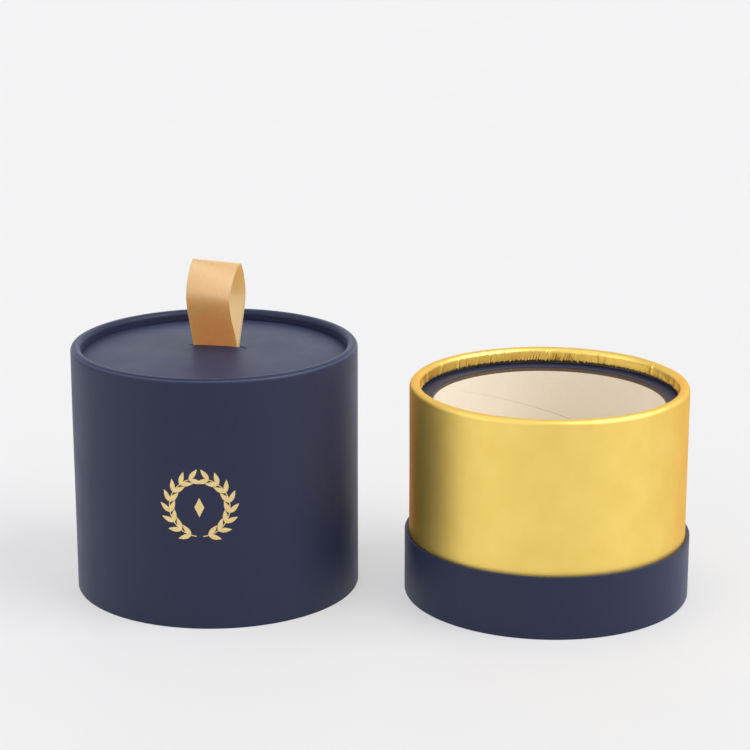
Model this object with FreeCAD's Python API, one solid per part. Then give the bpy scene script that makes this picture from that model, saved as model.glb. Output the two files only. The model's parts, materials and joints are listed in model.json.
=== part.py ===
import FreeCAD, Part
import math
import os

# Round gift box of wound board tubes, shown open: the base stands on the origin with its axis along +Z,
# and the lid stands beside it, mouth down, on the same table, towards -X.
# Every size is in millimetres and every angle in degrees.

# Papers and glue
cover_paper = 0.20
gold_paper = 0.20
lining_paper = 0.15
patch_paper = 0.15
glue_film = 0.03
disc_clearance = 0.10

# Outer tubes: the lid and the collar have the same outside
outer_radius = 45.0
lid_height = 78.7
collar_height = 19.9
lid_gap = 15.2
lid_board = 0.75
lid_clearance = 0.24

# Neck that the lid slides over
neck_height = 68.2
neck_board = 1.20

# Rims that are rolled inwards: the hollow left inside each roll, and how far its free edge hangs
lid_roll_hollow = 1.40
lid_roll_depth = 3.45
neck_roll_hollow = 0.50
neck_roll_depth = 4.10

# Card ring in the mouth of the base, and the inner tube under it
seat_gap = 1.20
seat_board = 1.10
seat_ring_width = 5.70
seat_edge = 0.20
holder_board = 1.60

# Bottom of the base
base_board = 2.00
foot_inset = 0.20

# Recessed top of the lid, which the pull of the ribbon has crowned
top_board = 1.50
top_crown = 1.80
inner_card = 0.60
slit_length = 19.4
slit_width = 1.60
slit_shift = 0.60
ribbon_turn = -10.0

# Satin ribbon: the loop above the lid, at its left and right edge, and the two tails under the board
ribbon_width = 14.5
ribbon_thickness = 0.35
leg_gap = 0.20
loop_lift = 0.10
loop_left_height = 27.6
loop_left_front = 6.4
loop_left_back = 7.4
loop_left_top = 0.5
loop_right_height = 26.3
loop_right_front = 7.7
loop_right_back = 7.8
loop_right_top = 3.5
bulge_height_share = 0.64
leg_lean_share = 0.44
leg_rise_share = 0.49
bulge_hold_share = 0.31
round_share = 0.36
tail_drop = 0.60
tail_length = 22.0
patch_margin = 6.0

# Sizes that follow from the ones above
cover_layer = cover_paper + glue_film
gold_layer = gold_paper + glue_film
lining_layer = lining_paper + glue_film
lid_board_radius = outer_radius - cover_layer
lid_lining_radius = lid_board_radius - lid_board - glue_film
lid_inner_radius = lid_lining_radius - lining_paper
lid_roll_width = 2 * (cover_layer + lid_board) + lid_roll_hollow
neck_radius = lid_inner_radius - lid_clearance
neck_board_radius = neck_radius - gold_layer
neck_inner_radius = neck_board_radius - neck_board
neck_roll_width = 2 * (gold_layer + neck_board) + neck_roll_hollow
base_disc_radius = neck_inner_radius - disc_clearance
seat_hole_radius = base_disc_radius - seat_ring_width
holder_bore_radius = seat_hole_radius - seat_edge
holder_inner_radius = holder_bore_radius + lining_layer
holder_radius = holder_inner_radius + holder_board
tubes_bottom = cover_layer
base_disc_top = tubes_bottom + base_board
floor_top = base_disc_top + lining_layer
seat_top = neck_height - neck_roll_depth - seat_gap
seat_board_top = seat_top - cover_layer
seat_bottom = seat_board_top - seat_board
holder_bottom = floor_top + glue_film
holder_top = seat_bottom - glue_film
lid_top = lid_height - lid_roll_depth - glue_film
top_board_top = lid_top - cover_layer
top_board_bottom = top_board_top - top_board
lid_disc_radius = lid_board_radius - lid_board - disc_clearance
crown_radius = outer_radius - lid_roll_width - disc_clearance
crown_sphere = (crown_radius ** 2 + top_crown ** 2) / (2 * top_crown)
lid_distance = 2 * outer_radius + lid_gap
leg_inner = leg_gap / 2
leg_outer = leg_inner + ribbon_thickness
patch_width = ribbon_width + 2 * patch_margin
patch_length = 2 * (tail_length + patch_margin)


def crown_rise(radius):
    """Height of the crown above its edge, at a distance from the lid's axis."""
    return top_crown - crown_sphere + math.sqrt(crown_sphere ** 2 - radius ** 2)


# Heights of what lies flat under the crown
tail_reach = math.hypot(slit_shift + ribbon_width / 2, tail_length)
patch_reach = math.hypot(slit_shift + patch_width / 2, patch_length / 2)
tails_top = lid_top + top_crown - tail_drop
tails_flat_top = top_board_bottom + crown_rise(tail_reach) - glue_film
tails_bottom = tails_flat_top - ribbon_thickness
patch_top = min(tails_bottom, top_board_bottom + crown_rise(patch_reach)) - glue_film
patch_bottom = patch_top - patch_paper
inner_card_top = min(patch_bottom, top_board_bottom) - glue_film
inner_card_bottom = inner_card_top - inner_card

CENTRE = FreeCAD.Vector(0, 0, 0)
UP = FreeCAD.Vector(0, 0, 1)
FULL_TURN = 360
LID_PLACE = FreeCAD.Placement(FreeCAD.Vector(-lid_distance, 0, 0), FreeCAD.Rotation(UP, ribbon_turn))


def section_point(radius, height):
    """Point of a half section, which lies in the plane of X and Z."""
    return FreeCAD.Vector(radius, 0, height)


def line(start, end):
    return Part.LineSegment(start, end).toShape()


def arc(start, middle, end):
    return Part.Arc(start, middle, end).toShape()


def bezier(*poles):
    curve = Part.BezierCurve()
    curve.setPoles(list(poles))
    return curve.toShape()


def turned(edges):
    """Solid swept by a closed half section round the Z axis."""
    return Part.Face(Part.Wire(edges)).revolve(CENTRE, UP, FULL_TURN)


def disc(radius, bottom, top):
    return Part.makeCylinder(radius, top - bottom, FreeCAD.Vector(0, 0, bottom))


def tube(outer, inner, bottom, top):
    return disc(outer, bottom, top).cut(disc(inner, bottom, top))


def rolled_tube(outer, wall, bottom, top, roll_width, free_edge):
    """Tube whose top is rolled inwards, the roll's free edge hanging down to the height free_edge."""
    roll = roll_width / 2
    level = top - roll
    middle = outer - roll
    inside = outer - roll_width
    corners = [
        section_point(outer, bottom),
        section_point(outer, level),
        section_point(inside, level),
        section_point(inside, free_edge),
        section_point(inside + wall, free_edge),
        section_point(inside + wall, level),
        section_point(outer - wall, level),
        section_point(outer - wall, bottom),
    ]
    edges = [
        line(corners[0], corners[1]),
        arc(corners[1], section_point(middle, top), corners[2]),
        line(corners[2], corners[3]),
        line(corners[3], corners[4]),
        line(corners[4], corners[5]),
        arc(corners[5], section_point(middle, top - wall), corners[6]),
        line(corners[6], corners[7]),
        line(corners[7], corners[0]),
    ]
    return turned(edges)


def capped_tube(outer, wall, inner, bottom, top):
    """Sleeve of paper with its upper end turned in, down to the radius inner."""
    corners = [
        section_point(outer, bottom),
        section_point(outer, top),
        section_point(inner, top),
        section_point(inner, top - wall),
        section_point(outer - wall, top - wall),
        section_point(outer - wall, bottom),
    ]
    edges = [line(corners[i - 1], corners[i]) for i in range(len(corners))]
    return turned(edges)


def crown_arc(height):
    """Rise of the crown from its edge to the axis, on an edge that lies at the given height."""
    middle = crown_radius / 2
    edge = section_point(crown_radius, height)
    return arc(edge, section_point(middle, height + crown_rise(middle)), section_point(0, height + top_crown))


def slotted_disc(radius, bottom, top):
    """Crowned disc of the lid's top with the ribbon's slit, which runs along X before the lid is set down."""
    edges = [
        crown_arc(top),
        line(section_point(0, top + top_crown), section_point(0, bottom + top_crown)),
        crown_arc(bottom),
        line(section_point(crown_radius, bottom), section_point(radius, bottom)),
        line(section_point(radius, bottom), section_point(radius, top)),
        line(section_point(radius, top), section_point(crown_radius, top)),
    ]
    corner = FreeCAD.Vector(slit_shift - slit_length / 2, -slit_width / 2, bottom)
    slit = Part.makeBox(slit_length, slit_width, top + top_crown - bottom, corner)
    return turned(edges).cut(slit)


def loop_side(along, sign, foot, bulge, top_across, top_height):
    """Two curves of one side of the loop: up from its foot to the bulge, and on to the top.

    The front of the loop has sign -1 and the back +1, as the side of Y that it bulges to."""
    bulge_height = top_height * bulge_height_share
    swell = bulge - foot
    reach = bulge - sign * top_across

    def point(across, height):
        return FreeCAD.Vector(along, sign * across, height)

    foot_end = point(foot, 0)
    leaning = point(foot + swell * leg_lean_share, bulge_height * leg_rise_share)
    below_bulge = point(bulge, bulge_height * (1 - bulge_hold_share))
    bulge_end = point(bulge, bulge_height)
    above_bulge = point(bulge, bulge_height + (top_height - bulge_height) * round_share)
    before_top = point(bulge - reach + reach * round_share, top_height)
    top_end = point(bulge - reach, top_height)
    leg = bezier(foot_end, leaning, below_bulge, bulge_end)
    crown = bezier(bulge_end, above_bulge, before_top, top_end)
    return leg, crown, foot_end


def loop_outline(along, front, back, top_across, height):
    """Closed outline of the folded ribbon at one edge of it."""
    inset = ribbon_thickness
    out_leg, out_crown, out_foot = loop_side(along, -1, leg_outer, front, top_across, height)
    back_leg, back_crown, back_foot = loop_side(along, 1, leg_outer, back, top_across, height)
    in_leg, in_crown, in_foot = loop_side(along, -1, leg_inner, front - inset, top_across, height - inset)
    rear_leg, rear_crown, rear_foot = loop_side(along, 1, leg_inner, back - inset, top_across, height - inset)
    edges = [
        out_leg, out_crown, back_crown, back_leg, line(back_foot, rear_foot),
        rear_leg, rear_crown, in_crown, in_leg, line(in_foot, out_foot),
    ]
    return Part.Wire(edges)


def ribbon_loop():
    """Loop of ribbon that stands on the slit, slightly twisted and higher at its left edge."""
    left = loop_outline(
        slit_shift - ribbon_width / 2, loop_left_front, loop_left_back, loop_left_top, loop_left_height)
    right = loop_outline(
        slit_shift + ribbon_width / 2, loop_right_front, loop_right_back, loop_right_top, loop_right_height)
    loop = Part.makeLoft([left, right], True, True)
    loop.translate(UP * (lid_top + top_crown + loop_lift))
    return loop


def ribbon_tail(sign):
    """End of the ribbon that drops through the slit and turns flat under the board."""
    bend = ribbon_thickness
    flat_top = tails_flat_top
    left = slit_shift - ribbon_width / 2

    def point(across, height):
        return FreeCAD.Vector(left, sign * across, height)

    corners = [
        point(leg_inner, tails_top),
        point(leg_outer, tails_top),
        point(leg_outer, flat_top),
        point(tail_length, flat_top),
        point(tail_length, tails_bottom),
        point(leg_inner + bend, tails_bottom),
        point(leg_inner, tails_bottom + bend),
    ]
    half_turn_share = 0.5 ** 0.5
    turn_middle = point(leg_inner + bend - bend * half_turn_share, tails_bottom + bend - bend * half_turn_share)
    edges = [line(corners[i], corners[i + 1]) for i in range(5)]
    edges.append(arc(corners[5], turn_middle, corners[6]))
    edges.append(line(corners[6], corners[0]))
    return Part.Face(Part.Wire(edges)).extrude(FreeCAD.Vector(ribbon_width, 0, 0))


def ribbon_patch():
    corner = FreeCAD.Vector(slit_shift - patch_width / 2, -patch_length / 2, patch_bottom)
    return Part.makeBox(patch_width, patch_length, patch_paper, corner)


# Base, round the origin
base_nodes = {
    "base_foot_paper": disc(outer_radius - foot_inset, 0, cover_paper),
    "base_collar_tube": tube(
        outer_radius - cover_layer, neck_radius + glue_film, tubes_bottom, collar_height - cover_layer),
    "base_collar_paper": capped_tube(
        outer_radius, cover_paper, neck_radius + glue_film, tubes_bottom, collar_height),
    "neck_tube": rolled_tube(
        neck_board_radius, neck_board, tubes_bottom, neck_height - gold_layer,
        neck_roll_width - 2 * gold_layer, neck_height - neck_roll_depth),
    "neck_gold_paper": rolled_tube(
        neck_radius, gold_paper, tubes_bottom, neck_height,
        neck_roll_width, neck_height - neck_roll_depth),
    "base_disc": disc(base_disc_radius, tubes_bottom, base_disc_top),
    "base_floor_paper": disc(base_disc_radius, base_disc_top + glue_film, floor_top),
    "holder_tube": tube(holder_radius, holder_inner_radius, holder_bottom, holder_top),
    "holder_lining": tube(holder_inner_radius - glue_film, holder_bore_radius, holder_bottom, holder_top),
    "seat_ring_board": tube(base_disc_radius, seat_hole_radius, seat_bottom, seat_board_top),
    "seat_ring_paper": tube(base_disc_radius, seat_hole_radius, seat_board_top + glue_film, seat_top),
}

# Lid, round its own axis
lid_nodes = {
    "lid_cover_paper": rolled_tube(
        outer_radius, cover_paper, 0, lid_height, lid_roll_width, lid_height - lid_roll_depth),
    "lid_tube": rolled_tube(
        lid_board_radius, lid_board, 0, lid_height - cover_layer,
        lid_roll_width - 2 * cover_layer, lid_height - lid_roll_depth),
    "lid_lining": tube(lid_lining_radius, lid_inner_radius, 0, inner_card_bottom - glue_film),
    "lid_top_paper": slotted_disc(lid_disc_radius, top_board_top + glue_film, lid_top),
    "lid_top_board": slotted_disc(lid_disc_radius, top_board_bottom, top_board_top),
    "lid_inner_card": disc(lid_disc_radius, inner_card_bottom, inner_card_top),
    "ribbon_tails": Part.makeCompound([ribbon_tail(-1), ribbon_tail(1)]),
    "ribbon_patch": ribbon_patch(),
    "ribbon_loop": ribbon_loop(),
}

for shape in lid_nodes.values():
    shape.Placement = LID_PLACE.multiply(shape.Placement)

os.makedirs("parts", exist_ok=True)
for name, shape in {**base_nodes, **lid_nodes}.items():
    shape.exportStep(os.path.join("parts", name + ".step"))
    print(name, "valid" if shape.isValid() else "not valid", round(shape.Volume, 2))
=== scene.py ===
import json
import math

import bpy
import numpy as np
from mathutils import Euler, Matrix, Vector


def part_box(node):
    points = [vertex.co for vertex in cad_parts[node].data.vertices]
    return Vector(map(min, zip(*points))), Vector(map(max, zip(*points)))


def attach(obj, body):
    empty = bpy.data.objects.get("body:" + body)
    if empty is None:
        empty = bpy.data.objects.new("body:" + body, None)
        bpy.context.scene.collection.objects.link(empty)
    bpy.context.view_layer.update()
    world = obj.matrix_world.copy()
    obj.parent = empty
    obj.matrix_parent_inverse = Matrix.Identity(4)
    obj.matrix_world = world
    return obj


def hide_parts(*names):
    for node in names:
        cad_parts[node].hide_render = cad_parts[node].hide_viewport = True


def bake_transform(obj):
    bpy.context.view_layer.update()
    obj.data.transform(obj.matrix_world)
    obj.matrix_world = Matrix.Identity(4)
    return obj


# Round gift box of papered board tubes, shown open: the looks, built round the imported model.
# Lengths are in metres and angles in degrees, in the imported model's own frame.
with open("model.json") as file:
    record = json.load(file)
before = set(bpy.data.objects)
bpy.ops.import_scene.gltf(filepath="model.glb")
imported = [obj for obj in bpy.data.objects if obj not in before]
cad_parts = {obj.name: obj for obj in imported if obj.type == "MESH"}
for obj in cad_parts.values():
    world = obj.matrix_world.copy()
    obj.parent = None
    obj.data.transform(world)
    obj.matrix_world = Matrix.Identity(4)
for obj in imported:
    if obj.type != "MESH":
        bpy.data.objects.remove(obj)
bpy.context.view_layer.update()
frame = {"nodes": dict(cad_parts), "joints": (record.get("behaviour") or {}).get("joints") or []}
FULL_TURN = 2 * math.pi

# Camera and floor
camera_place = Vector((0.00514, -0.69707, 0.26387))
camera_pitch = 15.567
camera_yaw = 4.897
camera_lens = 111.22
camera_sensor = 36.0
floor_size = 8.0
floor_gap = 0.00003

# Sizes of the papers and rims, as in the solids
cover_paper = 0.00020
gold_paper = 0.00020
lining_paper = 0.00015
edge_round = 0.00018
lid_roll_width = 0.00336
lid_roll_depth = 0.00345
neck_roll_width = 0.00336
neck_roll_depth = 0.00410
seat_hole_radius = 0.03637
lid_disc_radius = 0.04392
top_crown = 0.00180
ribbon_width = 0.01450
ribbon_thickness = 0.00030

# Places that come from the frame
lid_axis = Vector(next(j for j in frame["joints"] if j["name"] == "ribbon_fold")["pos_m"][:2])
base_axis = Vector((0, 0))
outer_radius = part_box("base_collar_paper")[1].x
collar_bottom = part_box("base_collar_paper")[0].z
collar_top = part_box("base_collar_paper")[1].z
neck_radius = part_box("neck_gold_paper")[1].x
neck_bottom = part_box("neck_gold_paper")[0].z
neck_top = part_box("neck_gold_paper")[1].z
lid_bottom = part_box("lid_cover_paper")[0].z
lid_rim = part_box("lid_cover_paper")[1].z
lid_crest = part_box("lid_top_paper")[1].z
seat_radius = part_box("seat_ring_paper")[1].x
seat_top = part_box("seat_ring_paper")[1].z
seat_board_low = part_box("seat_ring_board")[0].z
seat_board_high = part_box("seat_ring_board")[1].z
lining_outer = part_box("holder_lining")[1].x
lining_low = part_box("holder_lining")[0].z
lining_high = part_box("holder_lining")[1].z
lid_lining_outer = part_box("lid_lining")[1].y
lid_lining_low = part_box("lid_lining")[0].z
lid_lining_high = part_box("lid_lining")[1].z
tails_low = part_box("ribbon_tails")[0].z


# Mesh helpers

def strip(count_rows, count_columns, wrap_rows=False):
    """Quads of a grid of points that is stored row by row, each row a closed ring."""
    rows = np.arange(count_rows if wrap_rows else count_rows - 1)
    row, column = np.meshgrid(rows, np.arange(count_columns), indexing="ij")
    next_row = (row + 1) % count_rows
    next_column = (column + 1) % count_columns
    corners = (
        row * count_columns + column,
        row * count_columns + next_column,
        next_row * count_columns + next_column,
        next_row * count_columns + column,
    )
    return np.stack([c.ravel() for c in corners], axis=1)


def add_piece(name, points, faces, material, body, sharp_angle=40.0):
    """New mesh piece that rides on a body, if one is given, and takes its finish from a slot."""
    mesh = bpy.data.meshes.new(name)
    mesh.from_pydata(np.asarray(points).tolist(), [], [list(map(int, face)) for face in faces])
    mesh.polygons.foreach_set("use_smooth", [True] * len(mesh.polygons))
    mesh.set_sharp_from_angle(angle=math.radians(sharp_angle))
    mesh.materials.append(material)
    mesh.update()
    piece = bpy.data.objects.new(name, mesh)
    bpy.context.scene.collection.objects.link(piece)
    if body:
        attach(piece, body)
    return piece


def mark(piece, name, values):
    """Paints a value on each point of a mesh, for its material to read."""
    layer = piece.data.attributes.new(name, "FLOAT", "POINT")
    layer.data.foreach_set("value", np.asarray(values, np.float32))


def run(start, end, count):
    """Points of a straight run, without its last one."""
    share = np.linspace(0, 1, count, endpoint=False)[:, None]
    return np.asarray(start) * (1 - share) + np.asarray(end) * share


def bow(centre, radius, first, last, count):
    """Points of an arc from one angle to another, without its last one."""
    angle = np.radians(np.linspace(first, last, count, endpoint=False))
    return np.asarray(centre) + radius * np.stack([np.cos(angle), np.sin(angle)], axis=1)


def curve(poles, count):
    """Points of a cubic Bezier curve, with both ends."""
    share = np.linspace(0, 1, count)[:, None]
    first, second, third, fourth = (np.asarray(pole, float) for pole in poles)
    rest = 1 - share
    return (rest ** 3 * first + 3 * rest ** 2 * share * second
            + 3 * rest * share ** 2 * third + share ** 3 * fourth)


def ripple(angles, lowest, highest, terms, seed):
    """Smooth random wave round a circle, about 1 high, from whole numbers of waves."""
    draw = np.random.default_rng(seed)
    counts = draw.integers(lowest, highest + 1, terms)
    phases = draw.uniform(0, FULL_TURN, terms)
    waves = [np.cos(count * angles + phase) for count, phase in zip(counts, phases)]
    return sum(waves) * math.sqrt(2 / terms)


def around(axis, radius, angles, height):
    """Places at a distance and an angle from an upright axis."""
    x = axis.x + radius * np.cos(angles)
    y = axis.y + radius * np.sin(angles)
    return np.stack([x, y, height], axis=-1)


def lathe(profile, axis, segments, push=None):
    """Points of a closed profile of (radius, height) swept round an upright axis.

    push takes the angles and returns what is added to the radius and to the height of each row."""
    angles = np.linspace(0, FULL_TURN, segments, endpoint=False)[None, :]
    radius = profile[:, :1] + np.zeros_like(angles)
    height = profile[:, 1:] + np.zeros_like(angles)
    if push:
        more_radius, more_height = push(angles)
        radius = radius + more_radius
        height = height + more_height
    return around(axis, radius, angles, height).reshape(-1, 3)


def lathe_piece(name, profile, axis, segments, material, body, push=None):
    """New piece from a closed profile swept round an upright axis."""
    faces = strip(len(profile), segments, wrap_rows=True)
    return add_piece(name, lathe(profile, axis, segments, push), faces, material, body)


# Material helpers

noise_low = 0.3
noise_high = 0.7


class Nodes:
    """Short ways to add and join the nodes of a material or of the world."""

    def __init__(self, tree):
        self.tree = tree

    def give(self, socket, value):
        """Sets an input to a value, or joins it to another node's output."""
        if isinstance(value, bpy.types.NodeSocket):
            self.tree.links.new(value, socket)
        else:
            socket.default_value = value

    def node(self, kind, settings=None, **inputs):
        """Adds a node with its settings and its inputs, which have _ for each space in their names."""
        made = self.tree.nodes.new(kind)
        for key, value in (settings or {}).items():
            setattr(made, key, value)
        for key, value in inputs.items():
            self.give(made.inputs[key.replace("_", " ")], value)
        return made

    def place(self):
        """Place on the object, in metres."""
        return self.node("ShaderNodeTexCoord").outputs["Object"]

    def mark(self, name):
        """Value painted on the mesh under a name, or 0 where it has none."""
        return self.node("ShaderNodeAttribute", {"attribute_name": name}).outputs["Fac"]

    def stretched(self, place, scale):
        """Place scaled along each direction, so that a small scale draws a pattern out."""
        return self.node("ShaderNodeMapping", Vector=place, Scale=scale).outputs["Vector"]

    def noise(self, place, size, detail=2.0, roughness=0.5):
        """Noise whose grains are about the given size across."""
        made = self.node(
            "ShaderNodeTexNoise", Vector=place, Scale=1 / size, Detail=detail, Roughness=roughness)
        return made.outputs["Fac"]

    def wave(self, place, lines_per_metre, wander):
        """Lines across the second direction, with a little wander."""
        made = self.node(
            "ShaderNodeTexWave", {"bands_direction": "Y"}, Vector=place, Scale=lines_per_metre,
            Distortion=wander, Detail=1.0)
        return made.outputs["Fac"]

    def spread(self, value, to_low, to_high, low=noise_low, high=noise_high):
        """Maps a range of values to another one, by default the range that noise mostly fills."""
        made = self.node("ShaderNodeMapRange", Value=value)
        made.inputs["From Min"].default_value = low
        made.inputs["From Max"].default_value = high
        self.give(made.inputs["To Min"], to_low)
        self.give(made.inputs["To Max"], to_high)
        return made.outputs["Result"]

    def tint(self, share, first, second):
        """Mix of two colours, or of a colour and another node's colour."""
        # The node's colour sockets are its inputs 6 and 7 and its output 2
        made = self.node("ShaderNodeMix", {"data_type": "RGBA"})
        self.give(made.inputs[0], share)
        self.give(made.inputs[6], first)
        self.give(made.inputs[7], second)
        return made.outputs[2]

    def speckle(self, noise, first, second, share=1.0):
        """Two colours mixed by noise, up to a share of the second."""
        return self.tint(self.spread(noise, 0, share), first, second)

    def math(self, operation, first, second=0.0):
        """One operation on one or two values."""
        made = self.node("ShaderNodeMath", {"operation": operation})
        self.give(made.inputs[0], first)
        self.give(made.inputs[1], second)
        return made.outputs["Value"]

    def bump(self, height, depth, below=None):
        """Surface relief of a height from 0 to 1, so many metres deep."""
        made = self.node("ShaderNodeBump", Height=height, Distance=depth, Strength=1.0)
        if below:
            self.give(made.inputs["Normal"], below)
        return made.outputs["Normal"]


class Paint(Nodes):
    """One node material."""

    def __init__(self, name):
        self.material = bpy.data.materials.new(name)
        self.material.use_nodes = True
        super().__init__(self.material.node_tree)
        self.shader = self.tree.nodes["Principled BSDF"]

    def finish(self, **inputs):
        """Sets the shader's inputs and gives the material."""
        for key, value in inputs.items():
            self.give(self.shader.inputs[key.replace("_", " ")], value)
        return self.material


# Materials

def navy_paper():
    """Fine-grained deep blue coated paper with a soft sheen; rims rubbed paler, with painted highlights.
    """
    grain_size = 0.00032
    cloud_size = 0.012
    fibre_size = 0.0006
    fibre_stretch = (1.0, 1.0, 0.25)
    relief = 0.00003
    cloud_share = 0.45
    least_rim_line_share = 0.25
    smoothest = 0.43
    roughest = 0.51
    deep = (0.0165, 0.0200, 0.0480, 1)
    pale = (0.0225, 0.0270, 0.0625, 1)
    rubbed_and_highlight = (0.085, 0.100, 0.190, 1)
    blue_sheen = (0.35, 0.45, 1.0, 1)
    paint = Paint("navy_paper")
    place = paint.place()
    grain = paint.noise(place, grain_size, detail=3.0, roughness=0.6)
    cloud = paint.noise(place, cloud_size, detail=4.0, roughness=0.55)
    fibre = paint.noise(paint.stretched(place, fibre_stretch), fibre_size)
    colour = paint.speckle(cloud, paint.speckle(grain, deep, pale), pale, cloud_share)
    # Paler lines on the rims: partly rubbed wear, partly painted highlights where the roll catches the
    # light
    wear_and_highlight = paint.math("MULTIPLY", paint.mark("wear_and_highlight"), paint.spread(grain, least_rim_line_share, 1.0))
    colour = paint.tint(wear_and_highlight, colour, rubbed_and_highlight)
    rough = paint.spread(cloud, smoothest, roughest)
    normal = paint.bump(grain, relief, paint.bump(fibre, relief))
    return paint.finish(
        Base_Color=colour, Roughness=rough, Normal=normal, IOR=1.33,
        Sheen_Weight=0.09, Sheen_Roughness=0.5, Sheen_Tint=blue_sheen)


def gold_foil():
    """Satin metallic foil on paper, faintly uneven from the board and burnished inside the rolled rim."""
    cloud_size = 0.010
    skin_size = 0.0022
    fine_size = 0.0003
    cloud_relief = 0.00004
    skin_relief = 0.00002
    smoothest = 0.49
    roughest = 0.55
    burnish = 0.20
    deep = (0.95, 0.695, 0.175, 1)
    pale = (0.99, 0.750, 0.212, 1)
    red_edge = (0.84, 0.40, 0.36, 1)
    paint = Paint("gold_foil")
    place = paint.place()
    cloud = paint.noise(place, cloud_size, detail=3.0)
    skin = paint.noise(place, skin_size, detail=3.0, roughness=0.55)
    fine = paint.noise(place, fine_size)
    colour = paint.speckle(cloud, deep, pale)
    rough = paint.spread(fine, smoothest, roughest)
    rough = paint.math("SUBTRACT", rough, paint.math("MULTIPLY", paint.mark("rolled"), burnish))
    normal = paint.bump(skin, skin_relief, paint.bump(cloud, cloud_relief))
    return paint.finish(
        Base_Color=colour, Metallic=1.0, Roughness=rough, Normal=normal, Specular_Tint=red_edge)


def wreath_foil():
    """Hot stamped foil of the ornament, brighter than the neck."""
    worn_size = 0.0011
    relief = 0.00001
    smoothest = 0.24
    roughest = 0.36
    deep = (0.83, 0.60, 0.24, 1)
    pale = (0.95, 0.75, 0.38, 1)
    paint = Paint("wreath_foil")
    worn = paint.noise(paint.place(), worn_size, detail=3.0, roughness=0.6)
    colour = paint.speckle(worn, deep, pale)
    rough = paint.spread(worn, smoothest, roughest)
    normal = paint.bump(worn, relief)
    return paint.finish(Base_Color=colour, Metallic=1.0, Roughness=rough, Normal=normal)


def cream_paper():
    """Uncoated lining paper with a faint mottle, short fibres and painted shade along its wound joint."""
    mottle_size = 0.006
    fibre_size = 0.0007
    fibre_stretch = (1.0, 1.0, 3.0)
    relief = 0.00002
    mottle_share = 0.4
    smoothest = 0.62
    roughest = 0.74
    warm = (0.880, 0.795, 0.665, 1)
    pale = (0.925, 0.860, 0.750, 1)
    shaded = (0.40, 0.31, 0.20, 1)
    paint = Paint("cream_paper")
    place = paint.place()
    mottle = paint.noise(place, mottle_size, detail=4.0, roughness=0.6)
    fibre = paint.noise(paint.stretched(place, fibre_stretch), fibre_size, detail=3.0, roughness=0.6)
    colour = paint.speckle(mottle, paint.speckle(fibre, warm, pale), warm, mottle_share)
    # Painted shade: a dark line along the joint, where one edge stands proud
    colour = paint.tint(paint.mark("seam"), colour, shaded)
    rough = paint.spread(mottle, smoothest, roughest)
    return paint.finish(Base_Color=colour, Roughness=rough, Normal=paint.bump(fibre, relief))


def raw_board(name, dark, light):
    """Board of pressed fibres, its layers showing where it is cut."""
    fibre_size = 0.0005
    layer_size = 0.0012
    layer_stretch = (0.3, 0.3, 6.0)
    fibre_relief = 0.00008
    layer_relief = 0.00006
    layer_share = 0.5
    smoothest = 0.78
    roughest = 0.92
    paint = Paint(name)
    place = paint.place()
    fibre = paint.noise(place, fibre_size, detail=4.0, roughness=0.65)
    layer = paint.noise(paint.stretched(place, layer_stretch), layer_size)
    colour = paint.speckle(layer, paint.speckle(fibre, dark, light), dark, layer_share)
    rough = paint.spread(fibre, smoothest, roughest)
    normal = paint.bump(fibre, fibre_relief, paint.bump(layer, layer_relief))
    return paint.finish(Base_Color=colour, Roughness=rough, Normal=normal)


def kraft_paper():
    """Brown paper with long fibres, of the patch under the lid's top."""
    fibre_size = 0.0009
    fibre_stretch = (3.0, 1.0, 1.0)
    relief = 0.00003
    dark = (0.36, 0.22, 0.11, 1)
    light = (0.48, 0.31, 0.17, 1)
    paint = Paint("kraft_paper")
    place = paint.stretched(paint.place(), fibre_stretch)
    fibre = paint.noise(place, fibre_size, detail=4.0, roughness=0.65)
    colour = paint.speckle(fibre, dark, light)
    return paint.finish(Base_Color=colour, Roughness=0.72, Normal=paint.bump(fibre, relief))


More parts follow.
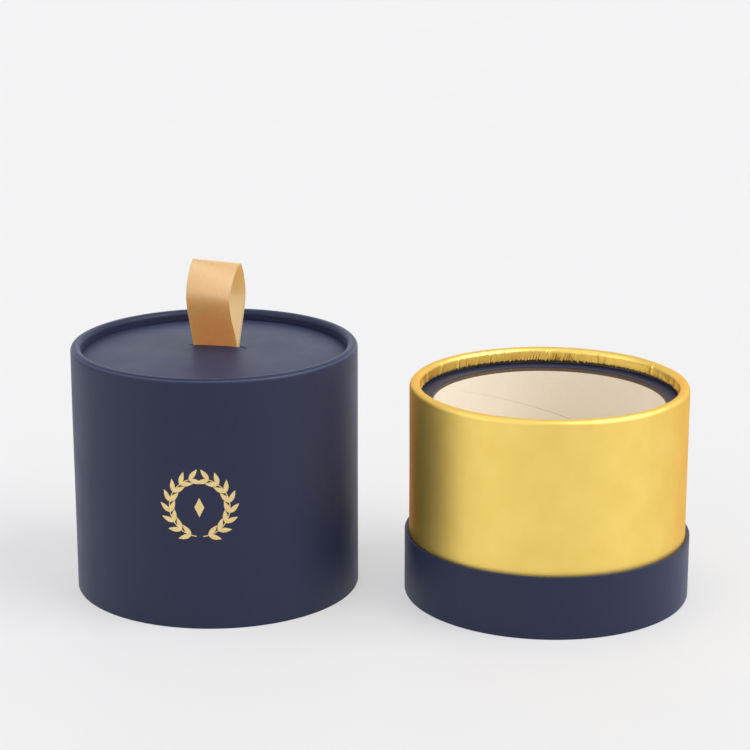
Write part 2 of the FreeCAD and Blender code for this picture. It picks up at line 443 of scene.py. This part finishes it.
def satin():
    """Champagne satin, thin enough to glow; its reverse duller and paler, partly with painted light.

    Long glossy floats lie along the ribbon and fine weft lines across it."""
    float_width = 0.00016
    float_stretch = 0.06
    weft_lines_per_metre = 620.0
    weft_wander = 1.4
    teeth_per_metre = 260.0
    teeth_wander = 0.6
    least_teeth_share = 0.25
    most_teeth_share = 0.75
    cloud_size = 0.004
    cloud_share = 0.35
    smoothest = 0.40
    roughest = 0.50
    float_relief = 0.00002
    weft_relief = 0.00001
    glow_depth = 0.0012
    half_width = ribbon_width / 2
    selvedge_starts_share = 0.935
    selvedge_full_share = 0.970
    deep = (0.63, 0.370, 0.135, 1)
    pale = (0.75, 0.470, 0.190, 1)
    middle = (0.69, 0.420, 0.160, 1)
    dull_and_painted_light = (0.93, 0.600, 0.350, 1)
    bound = (0.52, 0.270, 0.090, 1)
    warm_shine = (1.0, 0.98, 0.92, 1)
    warm_sheen = (1.0, 0.98, 0.94, 1)
    glow_depth_shares = (1.0, 0.75, 0.45)
    paint = Paint("satin")
    weave = paint.node("ShaderNodeUVMap").outputs["UV"]
    warp = paint.noise(paint.stretched(weave, (1.0, float_stretch, 1.0)), float_width)
    weft = paint.wave(weave, weft_lines_per_metre, weft_wander)
    teeth = paint.wave(weave, teeth_per_metre, teeth_wander)
    cloud = paint.noise(paint.place(), cloud_size)
    across = paint.node("ShaderNodeSeparateXYZ", Vector=weave).outputs["X"]
    off_middle = paint.math("ABSOLUTE", paint.math("SUBTRACT", across, half_width))
    out_share = paint.math("DIVIDE", off_middle, half_width)
    selvedge = paint.spread(out_share, 0, 1, selvedge_starts_share, selvedge_full_share)
    stitched = paint.math("MULTIPLY", selvedge, paint.spread(teeth, least_teeth_share, most_teeth_share))
    colour = paint.speckle(cloud, paint.speckle(warp, deep, pale), middle, cloud_share)
    # Paler reverse: partly the duller back of the satin, partly painted light on the loop's lit inside
    colour = paint.tint(paint.mark("reverse"), colour, dull_and_painted_light)
    colour = paint.tint(stitched, colour, bound)
    rough = paint.spread(warp, smoothest, roughest)
    normal = paint.bump(warp, float_relief, paint.bump(weft, weft_relief))
    over_width = paint.node("ShaderNodeTangent", {"direction_type": "UV_MAP"}).outputs["Tangent"]
    return paint.finish(
        Base_Color=colour, Roughness=rough, Normal=normal, Tangent=over_width, IOR=1.8,
        Specular_IOR_Level=0.95, Specular_Tint=warm_shine, Anisotropic=0.85,
        Sheen_Weight=1.0, Sheen_Roughness=0.30, Sheen_Tint=warm_sheen,
        Subsurface_Weight=1.0, Subsurface_Radius=glow_depth_shares, Subsurface_Scale=glow_depth)


def floor_card():
    """White studio card, which shows half of the shade on it, in the picture and in reflections."""
    tooth_size = 0.05
    white_share = 0.5
    grey = (0.625, 0.622, 0.627, 1)
    pale = (0.639, 0.636, 0.641, 1)
    white = (0.980, 0.980, 1.000, 1)
    paint = Paint("floor_card")
    colour = paint.speckle(paint.noise(paint.place(), tooth_size), grey, pale)
    material = paint.finish(Base_Color=colour, Roughness=0.55, Specular_IOR_Level=0.3)
    path = paint.node("ShaderNodeLightPath")
    seen = paint.math("MAXIMUM", path.outputs["Is Camera Ray"], path.outputs["Is Glossy Ray"])
    seen = paint.math("MAXIMUM", seen, path.outputs["Is Transmission Ray"])
    glow = paint.node("ShaderNodeEmission", Color=white, Strength=1.0)
    mix = paint.node("ShaderNodeMixShader", Fac=paint.math("MULTIPLY", seen, white_share))
    paint.give(mix.inputs[1], paint.shader.outputs["BSDF"])
    paint.give(mix.inputs[2], glow.outputs["Emission"])
    paint.give(paint.tree.nodes["Material Output"].inputs["Surface"], mix.outputs["Shader"])
    return material


board_dark = (0.20, 0.155, 0.115, 1)
board_light = (0.34, 0.27, 0.205, 1)
card_dark = (0.105, 0.066, 0.046, 1)
card_light = (0.190, 0.125, 0.085, 1)

NAVY = navy_paper()
GOLD = gold_foil()
CREAM = cream_paper()
BOARD = raw_board("tube_board", board_dark, board_light)
CARD = raw_board("seat_card", card_dark, card_light)
KRAFT = kraft_paper()
SATIN = satin()


# Rolled sleeves: the lid's cover and the neck's foil

wall_rows = 8
roll_rows = 28
hem_rows = 12
round_rows = 4
hidden_wall_rows = 3
hidden_roll_rows = 10
hidden_hem_rows = 6
crest_share = 0.3
hem_share = 0.6


def rolled_profile(outer, paper, bottom, top, roll_width, free_edge):
    """Closed section of a paper sleeve whose top is rolled inwards, from its foot and back to it.

    Also gives how far along the roll each row lies, from 0 on the wall to 1 at the free edge, and the
    direction in which the seen side of each row faces."""
    roll = roll_width / 2
    level = top - roll
    middle = (outer - roll, level)
    inside = outer - roll_width
    behind = inside + paper
    hidden = outer - paper
    foot = edge_round
    parts = [
        (bow((outer - foot, bottom + foot), foot, -90, 0, round_rows), (0, 0), (0, 0)),
        (run((outer, bottom + foot), (outer, level), wall_rows), (0, 0), (0, 0)),
        (bow(middle, roll, 0, 180, roll_rows), (0, hem_share), (0, 180)),
        (run((inside, level), (inside, free_edge), hem_rows), (hem_share, 1), (180, 180)),
        (run((behind, free_edge), (behind, level), hidden_hem_rows), (1, hem_share), (180, 180)),
        (bow(middle, roll - paper, 180, 0, hidden_roll_rows), (hem_share, 0), (180, 0)),
        (run((hidden, level), (hidden, bottom), hidden_wall_rows), (0, 0), (0, 0)),
    ]
    profile = np.vstack([points for points, span, facing in parts])
    rolled = [np.linspace(*span, len(points), endpoint=False) for points, span, facing in parts]
    outward = [bow((0, 0), 1.0, *facing, len(points)) for points, span, facing in parts]
    return profile, np.concatenate(rolled)[:, None], np.vstack(outward)


sleeve_segments = 720
wall_wave = 0.00003
rim_wave = 0.000015
# Two paler lines along the lid's roll, partly rubbed wear and partly painted highlights
rim_line_shares = (0.128, 0.34)
rim_line_spread_share = 0.022
lap_step = 0.00012
lap_angle = 78.0
lap_width = 14.0


def lap(angles):
    """Depth of a sleeve's lap, at the back: the paper sinks over it and steps up at its end."""
    past = (angles - math.radians(lap_angle)) % FULL_TURN
    over_share = past / math.radians(lap_width)
    return np.where(over_share < 1, lap_step * over_share, 0.0)


def lid_cover():
    """Navy paper on the lid's side, carried over its rolled rim."""
    free_edge = lid_rim - lid_roll_depth
    profile, rolled, outward = rolled_profile(
        outer_radius, cover_paper, lid_bottom, lid_rim, lid_roll_width, free_edge)
    rise = (profile[:, 1:] - lid_bottom) / (lid_rim - lid_bottom)

    def push(angles):
        slow = ripple(angles + rise, lowest=2, highest=9, terms=6, seed=11) * wall_wave * rise
        rim = ripple(angles + rolled, lowest=12, highest=60, terms=10, seed=12) * rim_wave * rolled
        lift = slow + rim - lap(angles) * (1 - rolled)
        return lift * outward[:, :1], rim * outward[:, 1:]

    piece = lathe_piece("lid_cover", profile, lid_axis, sleeve_segments, NAVY, "lid", push)
    # Painted highlights and rubbed wear, as two paler lines along the roll
    wear_and_highlight = sum(np.exp(-((rolled - share) / rim_line_spread_share) ** 2) for share in rim_line_shares)
    mark(piece, "wear_and_highlight", np.repeat(wear_and_highlight.ravel(), sleeve_segments))
    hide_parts("lid_cover_paper")


neck_segments = 2160
pleat_height = 0.00034
pleat_starts_share = 0.42
crease_height = 0.00026
crease_starts_share = 0.34
crease_count = 70
crease_seed = 24
ragged_edge = 0.00020
ragged_power = 6
fine_share = 0.65
busy_share = 0.6
busy_swing_share = 0.4
busy_limit_shares = (0.2, 1.2)
crease_size_shares = (0.2, 1.0)

# Turns round the neck, in radians
wall_slant = 0.6
pleat_drift = 0.05
crease_slants = (-0.02, 0.07)
crease_widths = (0.003, 0.009)


def pleats(angles, rolled):
    """Creases of the foil where the roll draws it in: fine at the free edge, with longer slanted ones."""
    deep = np.clip((rolled - pleat_starts_share) / (1 - pleat_starts_share), 0, 1)
    drift = pleat_drift * rolled
    swing = ripple(angles, lowest=2, highest=7, terms=5, seed=21)
    busy = np.clip(busy_share + busy_swing_share * swing, *busy_limit_shares)
    fine = 1 - np.abs(ripple(angles - drift, lowest=120, highest=210, terms=9, seed=22))
    small = 1 - np.abs(ripple(angles + drift, lowest=230, highest=420, terms=9, seed=23))
    edge = (fine_share * fine + (1 - fine_share) * small) * busy * deep
    draw = np.random.default_rng(crease_seed)
    reach = np.clip((rolled - crease_starts_share) / (hem_share - crease_starts_share), 0, 1)
    long_ones = np.zeros_like(edge)
    for turn in draw.uniform(0, FULL_TURN, crease_count):
        slant = draw.uniform(*crease_slants)
        width = draw.uniform(*crease_widths)
        size = draw.uniform(*crease_size_shares)
        off = (angles - turn - slant * rolled + math.pi) % FULL_TURN - math.pi
        long_ones = long_ones + size * np.exp(-np.abs(off) / width) * reach
    return pleat_height * edge + crease_height * long_ones


def neck_foil():
    """Gold foil paper on the neck, creased where its rim is rolled inwards."""
    free_edge = neck_top - neck_roll_depth
    profile, rolled, outward = rolled_profile(
        neck_radius, gold_paper, neck_bottom, neck_top, neck_roll_width, free_edge)
    rise = (profile[:, 1:] - neck_bottom) / (neck_top - neck_bottom)

    def push(angles):
        slow = ripple(angles + wall_slant * rise, lowest=3, highest=14, terms=8, seed=31) * wall_wave
        lift = slow * (1 - rolled) + pleats(angles, rolled)
        ragged = ripple(angles, lowest=60, highest=260, terms=12, seed=32) * ragged_edge
        ragged = ragged * rolled ** ragged_power
        return lift * outward[:, :1], lift * outward[:, 1:] + ragged

    piece = lathe_piece("neck_foil", profile, base_axis, neck_segments, GOLD, "base", push)
    inside = np.clip((rolled.ravel() - crest_share) / (hem_share - crest_share), 0, 1)
    mark(piece, "rolled", np.repeat(inside, neck_segments))
    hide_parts("neck_gold_paper")


# Collar, seat ring and linings

collar_edge_round = 0.00030
collar_dip = 0.00018
collar_gap_share = 0.03
collar_wave = wall_wave / 2
ring_segments = 540
ring_round_share = 1 / 3
hole_edge_share = 1 / 6
fray_radians_per_metre = 900.0
seat_fray = 0.00004


def collar_cover():
    """Navy paper on the collar, turned in over its top edge down to the neck."""
    inner = neck_radius + (outer_radius - neck_radius) * collar_gap_share
    inner_top = collar_top - collar_dip
    turn = collar_edge_round
    hidden = outer_radius - cover_paper
    hidden_top = collar_top - cover_paper
    profile = np.vstack([
        bow((outer_radius - edge_round, collar_bottom + edge_round), edge_round, -90, 0, round_rows),
        run((outer_radius, collar_bottom + edge_round), (outer_radius, collar_top - turn), wall_rows),
        bow((outer_radius - turn, collar_top - turn), turn, 0, 90, 2 * round_rows),
        run((outer_radius - turn, collar_top), (inner, inner_top), round_rows),
        run((inner, inner_top), (inner, hidden_top), round_rows),
        run((inner, hidden_top), (outer_radius - turn, hidden_top), round_rows),
        run((hidden, collar_top - turn), (hidden, collar_bottom), wall_rows),
    ])

    def push(angles):
        lift = ripple(angles, lowest=2, highest=9, terms=6, seed=41) * collar_wave - lap(angles)
        return lift + np.zeros((len(profile), 1)), np.zeros((len(profile), 1))

    piece = lathe_piece(
        "collar_cover", profile, base_axis, sleeve_segments, NAVY, "base", push)
    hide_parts("base_collar_paper")


def flat_ring(name, outer, inner, low, high, material, node, fray=0.0):
    """Flat ring with softened edges, its hole cut a little unevenly."""
    soft = min(edge_round, (high - low) * ring_round_share)
    profile = np.vstack([
        run((outer, low), (outer, high - soft), round_rows),
        bow((outer - soft, high - soft), soft, 0, 90, round_rows),
        run((outer - soft, high), (inner + soft, high), 2 * round_rows),
        bow((inner + soft, high - soft), soft, 90, 180, round_rows),
        run((inner, high - soft), (inner, low), 2 * round_rows),
        run((inner, low), (outer, low), round_rows),
    ])
    across_share = (profile[:, :1] - inner) / (outer - inner)
    near_hole = np.clip(1 - across_share / hole_edge_share, 0, 1)

    def push(angles):
        twisted = angles + profile[:, 1:] * fray_radians_per_metre
        rough = ripple(twisted, lowest=40, highest=240, terms=14, seed=51) * fray * near_hole
        return rough, np.zeros_like(rough)

    piece = lathe_piece(name, profile, base_axis, ring_segments, material, "base", push)
    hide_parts(node)


def seat_ring():
    """Card ring in the mouth: navy paper on top, brown card at its cut edge."""
    paper_low = seat_top - cover_paper
    flat_ring("seat_ring_face", seat_radius, seat_hole_radius, paper_low, seat_top, NAVY,
              "seat_ring_paper")
    flat_ring("seat_ring_card", seat_radius, seat_hole_radius, seat_board_low, seat_board_high, CARD,
              "seat_ring_board", seat_fray)


spiral_rise = 0.0728
spiral_step = 0.00010
spiral_segments = 480
seam_rows = 20
seam_line_rows = 2
seam_margin_share = 0.004
seam_fade_angle = 2.0
seam_sharp_angle = 20.0
holder_seam_angle = 158.1
lid_seam_angle = 20.0


def spiral_lining(name, outer, low, high, axis, start_angle, body, node):
    """Wound lining of a tube: one helical joint runs down it, where an edge stands a little proud."""
    angles = np.linspace(0, FULL_TURN, spiral_segments, endpoint=False)
    inner = outer - lining_paper
    height = high - low
    run_turn = height / spiral_rise * FULL_TURN
    past = (math.radians(start_angle) - angles) % FULL_TURN
    on_seam = past <= run_turn
    back_share = (past - run_turn) / (FULL_TURN - run_turn)
    seam_down_share = np.where(on_seam, past / run_turn, 1 - back_share)
    seam_down_share = seam_margin_share + (1 - 2 * seam_margin_share) * seam_down_share
    from_end = np.minimum(past, run_turn - past)
    fade = np.clip(from_end / math.radians(seam_fade_angle), 0, 1) * on_seam
    seam = high - height * seam_down_share
    share = np.linspace(0, 1, seam_rows)[:, None] ** 2
    upper_rows = high + (seam - high) * (1 - share[::-1])
    lower_rows = seam + (low - seam) * share
    proud = spiral_step * fade * (1 - share)
    ring = np.ones((1, spiral_segments))
    radius = np.vstack([np.full_like(upper_rows, inner), inner - proud, outer * ring, outer * ring])
    level = np.vstack([upper_rows, lower_rows, low * ring, high * ring])
    points = around(axis, radius, angles, level).reshape(-1, 3)
    faces = strip(len(radius), spiral_segments, wrap_rows=True)
    piece = add_piece(name, points, faces, CREAM, body, seam_sharp_angle)
    shaded = np.zeros_like(radius)
    # Painted shade on the rows just above the joint
    shaded[seam_rows - seam_line_rows:seam_rows] = fade
    mark(piece, "seam", shaded.ravel())
    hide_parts(node)


# Top of the lid and its ribbon

slit_turn = -5.0
slit_length = 0.0194
slit_opening = 0.0022
slit_shift = 0.00060
slit_end_power = 4
flap_lift = 0.00070
flap_reach = 0.0050
top_rings = 64
ring_growth_power = 1.6
top_segments = 360


def turned_about_lid(along, across, turn):
    """Place over the lid's top, from distances along and across a line through its axis."""
    angle = math.radians(turn)
    x = lid_axis.x + along * math.cos(angle) - across * math.sin(angle)
    y = lid_axis.y + along * math.sin(angle) + across * math.cos(angle)
    return x, y


def lid_top_sheet():
    """Navy paper of the lid's top, crowned, and lifted at the slit where the ribbon pulls on it."""
    angles = np.linspace(0, FULL_TURN, top_segments, endpoint=False)[None, :]
    share = (np.linspace(0, 1, top_rings) ** ring_growth_power)[:, None]
    half_length = slit_length / 2
    half_opening = slit_opening / 2
    ring_length = half_length + (lid_disc_radius - half_length) * share
    ring_breadth = half_opening + (lid_disc_radius - half_opening) * share
    along = slit_shift * (1 - share) + ring_length * np.cos(angles)
    across = ring_breadth * np.sin(angles)
    crown_radius = outer_radius - lid_roll_width
    out_share = np.clip((along ** 2 + across ** 2) / crown_radius ** 2, 0, 1)
    crown = top_crown * (1 - out_share)
    ends = np.clip(1 - ((along - slit_shift) / half_length) ** slit_end_power, 0, 1)
    flap = flap_lift * ends * np.exp(-(across / flap_reach) ** 2)
    surface = lid_crest - top_crown + crown + flap
    x, y = turned_about_lid(along, across, slit_turn)
    upper = np.stack([x, y, surface], axis=2)
    lower = upper[::-1].copy()
    lower[:, :, 2] -= cover_paper
    points = np.vstack([upper, lower]).reshape(-1, 3)
    faces = strip(2 * top_rings, top_segments, wrap_rows=True)
    piece = add_piece("lid_top_sheet", points, faces, NAVY, "lid")
    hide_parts("lid_top_paper")


ribbon_turn = -10.0
loop_lift = 0.00010
loop_foot = lid_crest + loop_lift
leg_foot = 0.00028
left_edge = {"height": 0.0276, "front": 0.0064, "back": 0.0074, "top": 0.0005}
right_edge = {"height": 0.0263, "front": 0.0077, "back": 0.0078, "top": 0.0035}
bulge_height_share = 0.64
leg_lean_share = 0.44
leg_rise_share = 0.49
bulge_hold_share = 0.31
round_share = 0.36
tail_length = 0.0220
tail_bend = 0.00035
tail_rows = 12
slit_rows = 10
bend_rows = 6
loop_rows = 48
ribbon_columns = 20
selvedge_share = 0.35
selvedge_power = 8
ribbon_sharp_angle = 60.0
loop_skew = 0.0006


def loop_half(edge, sign):
    """Points (across, height above the foot) of one side of the loop, from its foot to its top."""
    bulge = edge["front"] if sign < 0 else edge["back"]
    top = edge["height"]
    bulge_height = top * bulge_height_share
    swell = bulge - leg_foot
    reach = bulge - sign * edge["top"]
    leg = curve([
        (leg_foot, 0),
        (leg_foot + swell * leg_lean_share, bulge_height * leg_rise_share),
        (bulge, bulge_height * (1 - bulge_hold_share)),
        (bulge, bulge_height),
    ], loop_rows)
    crown = curve([
        (bulge, bulge_height),
        (bulge, bulge_height + (top - bulge_height) * round_share),
        (bulge - reach + reach * round_share, top),
        (bulge - reach, top),
    ], loop_rows)
    side = np.vstack([leg[:-1], crown])
    return side * (sign, 1)


def ribbon_edge(edge):
    """Points (across, height) of one edge of the whole ribbon, from tail to tail."""
    flat = tails_low + ribbon_thickness / 2
    bend_middle = flat + tail_bend
    halves = []
    for sign in (-1, 1):
        tail = run((tail_length, flat), (leg_foot + tail_bend, flat), tail_rows)
        bend = bow((leg_foot + tail_bend, bend_middle), tail_bend, 270, 180, bend_rows)
        rise = run((leg_foot, bend_middle), (leg_foot, loop_foot), slit_rows)
        loop = loop_half(edge, sign) + (0, loop_foot)
        halves.append(np.vstack([np.vstack([tail, bend, rise]) * (sign, 1), loop]))
    front, back = halves
    return np.vstack([front, back[::-1][1:]])


def ribbon():
    """Satin ribbon in one length: a tail under the board, up through the slit, the loop, and back.

    The loop's two legs lie a little apart along the slit."""
    left = ribbon_edge(left_edge)
    right = ribbon_edge(right_edge)
    half_width = ribbon_width / 2
    share = np.linspace(0, 1, ribbon_columns)
    centre = left[:, None, :] * (1 - share[:, None]) + right[:, None, :] * share[:, None]
    path_share = np.linspace(0, 1, len(left))[:, None]
    along = slit_shift + half_width * (2 * share - 1) + loop_skew / 2 * (2 * path_share - 1)
    x, y = turned_about_lid(along, centre[:, :, 0], ribbon_turn)
    middle = np.stack([x, y, centre[:, :, 1]], axis=2)
    down_path = np.gradient(middle, axis=0)
    over_width = np.gradient(middle, axis=1)
    normal = np.cross(over_width, down_path)
    normal /= np.linalg.norm(normal, axis=2, keepdims=True)
    half_thick = ribbon_thickness / 2 * (1 - selvedge_share * (2 * share - 1) ** selvedge_power)
    offset = normal * half_thick[None, :, None]
    ring = np.concatenate([middle + offset, (middle - offset)[:, ::-1]], axis=1)
    count_rows, count_columns = ring.shape[:2]
    faces = list(strip(count_rows, count_columns))
    faces.append(list(range(count_columns))[::-1])
    faces.append([(count_rows - 1) * count_columns + i for i in range(count_columns)])
    points = ring.reshape(-1, 3)
    piece = add_piece("ribbon", points, faces, SATIN, None, ribbon_sharp_angle)
    steps = np.linalg.norm(np.diff(middle.mean(axis=1), axis=0), axis=1)
    travel = np.concatenate([[0], np.cumsum(steps)])
    add_weave(piece, travel, np.concatenate([share, share[::-1]]) * ribbon_width, count_columns)
    # The reverse is the loop's inside; its paler colour is partly painted light
    inner_side = np.repeat((0.0, 1.0), ribbon_columns)
    mark(piece, "reverse", np.tile(inner_side, count_rows))
    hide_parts("ribbon_loop", "ribbon_tails")
    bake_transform(piece)


def add_weave(piece, travel, across, count_columns):
    """Map of the ribbon laid flat, in metres, for its weave."""
    layer = piece.data.uv_layers.new(name="weave")
    corners = np.zeros(len(piece.data.loops), dtype=np.int32)
    piece.data.loops.foreach_get("vertex_index", corners)
    flat = np.stack([across[corners % count_columns], travel[corners // count_columns]], axis=1)
    layer.data.foreach_set("uv", flat.astype(np.float32).ravel())


# Foil ornament on the lid's side

wreath_radius = 0.0092
wreath_height = 0.0390
wreath_azimuth = -88.0
wreath_gap = 38.0
stem_width = 0.00030
stem_foot_gap = 6.0
stem_points = 60
first_leaf_point = 4
leaf_length = 0.0042
leaf_width = 0.0015
leaf_pairs = 8
leaf_spread = 34.0
leaf_points = 13
leaf_tip_share = 0.02
leaf_taper_power = 0.8
diamond_half_width = leaf_width
diamond_half_height = 2 * leaf_width
diamond_width_shares = (0.02, 0.5, 1.0, 0.5, 0.02)
foil_rise = 0.00003
foil_ridge = 0.00005
foil_sharp_angle = 25.0


def on_lid_side(flat, rise):
    """Places on the lid's side for points of a flat drawing centred on the ornament."""
    angle = math.radians(wreath_azimuth) + flat[:, 0] / outer_radius
    return around(lid_axis, outer_radius + rise, angle, wreath_height + flat[:, 1])


def foil_strip(middle, half_widths):
    """Points and faces of a thin foil shape along a flat line, with a low ridge on it."""
    ahead = np.gradient(middle, axis=0)
    ahead /= np.linalg.norm(ahead, axis=1, keepdims=True)
    side = np.stack([-ahead[:, 1], ahead[:, 0]], axis=1) * half_widths[:, None]
    rows = np.stack([
        on_lid_side(middle + side, foil_rise),
        on_lid_side(middle, foil_ridge),
        on_lid_side(middle - side, foil_rise),
        on_lid_side(middle, 0.0),
    ], axis=1)
    return rows.reshape(-1, 3), strip(*rows.shape[:2])


def leaf(base, heading):
    """Pointed leaf that grows from a point of the stem."""
    share = np.linspace(leaf_tip_share, 1 - leaf_tip_share, leaf_points)
    direction = np.array([math.cos(heading), math.sin(heading)])
    middle = base + direction * (share[:, None] * leaf_length)
    half_widths = leaf_width / 2 * np.sin(math.pi * share ** leaf_taper_power)
    return foil_strip(middle, half_widths)


def foil_wreath():
    """Open wreath of two leafy stems with a small diamond in its middle, stamped in gold foil."""
    shapes = []
    for sign in (-1, 1):
        sweep = np.radians(np.linspace(stem_foot_gap - 90, 90 - wreath_gap / 2, stem_points))
        stem = wreath_radius * np.stack([sign * np.cos(sweep), np.sin(sweep)], axis=1)
        shapes.append(foil_strip(stem, np.full(len(stem), stem_width / 2)))
        for angle in np.linspace(sweep[first_leaf_point], sweep[-1], leaf_pairs):
            base = wreath_radius * np.array([sign * math.cos(angle), math.sin(angle)])
            onward = math.atan2(math.cos(angle), -sign * math.sin(angle))
            for turn in (-leaf_spread, leaf_spread):
                shapes.append(leaf(base, onward + math.radians(turn)))
    height = np.linspace(-diamond_half_height, diamond_half_height, len(diamond_width_shares))
    upright = np.stack([np.zeros_like(height), height], axis=1)
    shapes.append(foil_strip(upright, np.array(diamond_width_shares) * diamond_half_width))
    points = []
    faces = []
    for shape_points, shape_faces in shapes:
        start = sum(len(p) for p in points)
        points.append(shape_points)
        faces.extend(shape_faces + start)
    add_piece(
        "foil_wreath", np.vstack(points), faces, wreath_foil(), "lid", foil_sharp_angle)


# Finish of the solids that stay

def dress_solids():
    """Papers, boards and card on the solids that no piece replaces."""
    finishes = {
        "base_foot_paper": NAVY, "base_collar_tube": BOARD, "neck_tube": BOARD, "base_disc": BOARD,
        "base_floor_paper": CREAM, "holder_tube": BOARD, "lid_tube": BOARD, "lid_top_board": BOARD,
        "lid_inner_card": CREAM, "ribbon_patch": KRAFT,
    }
    for node, material in finishes.items():
        solid = frame["nodes"][node]
        solid.data.materials.clear()
        solid.data.materials.append(material)


# Camera, floor and light

def add_camera():
    """Camera at the photograph's viewing angle."""
    data = bpy.data.cameras.new("camera")
    data.lens = camera_lens
    data.sensor_width = camera_sensor
    camera = bpy.data.objects.new("camera", data)
    camera.location = camera_place
    camera.rotation_euler = Euler((math.radians(90 - camera_pitch), 0, math.radians(camera_yaw)))
    bpy.context.scene.collection.objects.link(camera)
    bpy.context.scene.camera = camera


def add_floor():
    """Plain pale floor, a hair under the box."""
    half = floor_size / 2
    corners = [(-half, -half), (half, -half), (half, half), (-half, half)]
    mesh = bpy.data.meshes.new("floor")
    mesh.from_pydata([(x, y, -floor_gap) for x, y in corners], [], [(0, 1, 2, 3)])
    mesh.materials.append(floor_card())
    floor = bpy.data.objects.new("floor", mesh)
    bpy.context.scene.collection.objects.link(floor)


soft_lights = {
    "key": {"azimuth": 74.0, "elevation": 46.0, "spread": 45.0, "level": 0.67},
    "fill": {"azimuth": -45.0, "elevation": 52.0, "spread": 80.0, "level": 0.29},
}
front_ceiling_level = 0.25
back_ceiling_level = 0.65
back_ceiling_starts = -0.15
back_ceiling_full = 0.25
room_level = 0.55
left_panel_level = 1.70
right_panel_level = 0.95
panel_starts = 0.45
panel_full = 0.85
panel_front = -0.35
panel_back = 0.15
backdrop_level = 1.25
backdrop_starts = 0.35
backdrop_full = 0.95
ceiling_starts = 0.25
ceiling_full = 0.75


def add_soft_light(name, azimuth, elevation, spread, level):
    """Wide soft light far away, its azimuth counted from the front to the right.

    Its level is what it adds to a white surface that faces it."""
    data = bpy.data.lights.new(name, "SUN")
    data.angle = math.radians(spread)
    data.energy = level * math.pi
    lamp = bpy.data.objects.new(name, data)
    lamp.rotation_euler = Euler((math.radians(90 - elevation), 0, math.radians(azimuth)))
    bpy.context.scene.collection.objects.link(lamp)


def add_lights():
    """Soft light from the right and from the left front, in a grey room.

    Its wall is white behind and has a pale panel on each side in front, and its ceiling is darkest
    in front."""
    for name, light in soft_lights.items():
        add_soft_light(name, **light)
    world = bpy.data.worlds.new("room")
    world.use_nodes = True
    bpy.context.scene.world = world
    room = Nodes(world.node_tree)
    heading = room.node("ShaderNodeTexCoord").outputs["Generated"]
    parts = room.node("ShaderNodeSeparateXYZ", Vector=heading)
    side, depth, rise = parts.outputs
    left = room.spread(side, left_panel_level - room_level, 0, -panel_full, -panel_starts)
    right = room.spread(side, 0, right_panel_level - room_level, panel_starts, panel_full)
    in_front = room.spread(depth, 1, 0, panel_front, panel_back)
    panel = room.math("MULTIPLY", room.math("ADD", left, right), in_front)
    wall = room.spread(depth, room_level, backdrop_level, backdrop_starts, backdrop_full)
    wall = room.math("ADD", wall, panel)
    ceiling = room.spread(
        depth, front_ceiling_level, back_ceiling_level, back_ceiling_starts, back_ceiling_full)
    level = room.spread(rise, wall, ceiling, ceiling_starts, ceiling_full)
    sky = world.node_tree.nodes["Background"]
    room.give(sky.inputs["Color"], (1, 1, 1, 1))
    room.give(sky.inputs["Strength"], level)


bpy.context.scene.view_settings.view_transform = "Standard"
add_camera()
add_floor()
add_lights()
dress_solids()
lid_cover()
neck_foil()
collar_cover()
seat_ring()
spiral_lining("holder_lining_spiral", lining_outer, lining_low, lining_high, base_axis,
              holder_seam_angle, "base", "holder_lining")
spiral_lining("lid_lining_spiral", lid_lining_outer, lid_lining_low, lid_lining_high, lid_axis,
              lid_seam_angle, "lid", "lid_lining")
lid_top_sheet()
ribbon()
foil_wreath()
